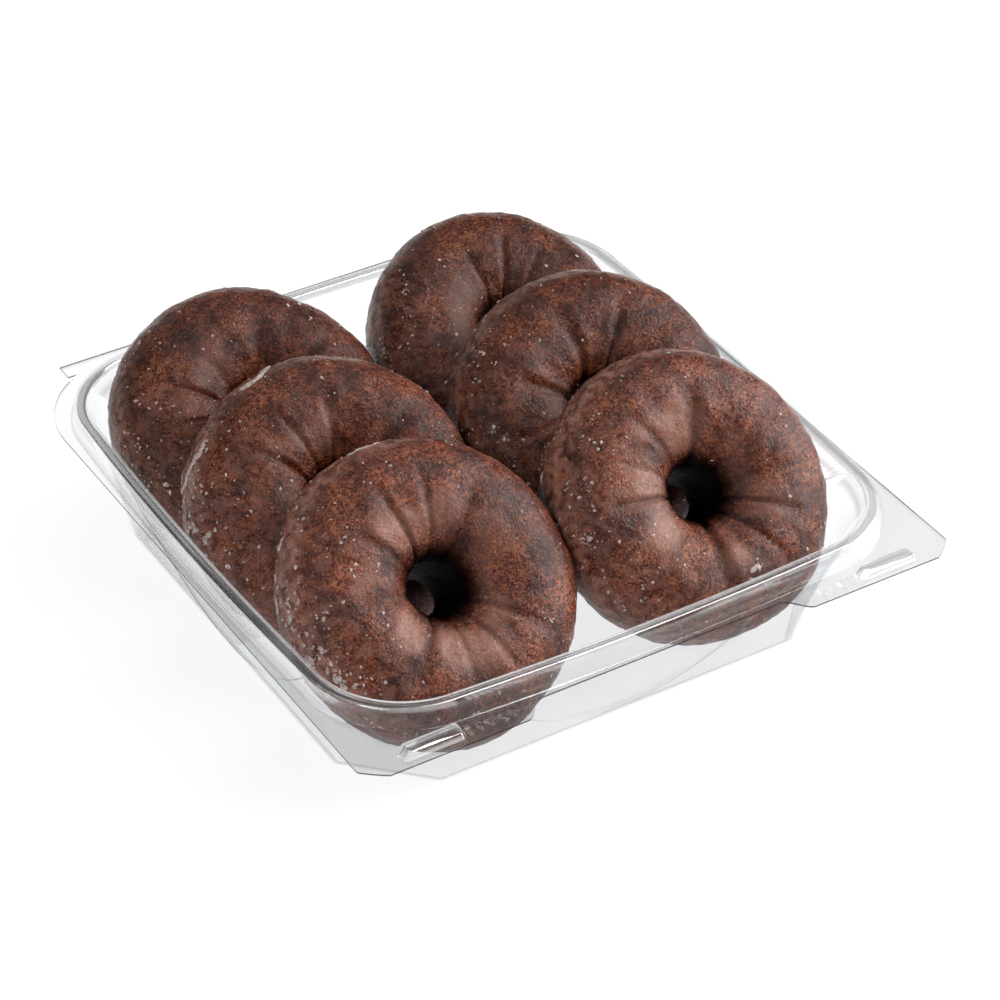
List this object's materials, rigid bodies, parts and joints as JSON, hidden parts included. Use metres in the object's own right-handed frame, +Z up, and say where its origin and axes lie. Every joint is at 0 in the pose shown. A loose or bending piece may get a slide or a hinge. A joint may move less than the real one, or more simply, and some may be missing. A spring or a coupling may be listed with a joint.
{
  "type": "box of doughnuts",
  "caption": "Clear thermoformed food tray holding glazed chocolate ring doughnuts in two leaning rows, with a snap bead, a flange and snap lugs on its front tabs.",
  "frame": {"origin": "bottom centre of the bounding box, on the surface the tray stands on", "axes": "+Z up, +Y from the tabbed front of the tray to its back edge, +X to the right as seen from the front"},
  "size_m": [0.191, 0.2132, 0.0721],
  "materials": {
    "clear_pet": "clear thermoformed PET sheet, smooth and glossy",
    "chocolate_glaze": "dark chocolate cake under a thin cracked sugar glaze, half glossy"
  },
  "bodies": {
    "root": {"tray": "clear_pet", "doughnut_left_back": "chocolate_glaze", "doughnut_left_middle": "chocolate_glaze", "doughnut_left_front": "chocolate_glaze", "doughnut_right_back": "chocolate_glaze", "doughnut_right_middle": "chocolate_glaze", "doughnut_right_front": "chocolate_glaze"}
  },
  "joints": []
}
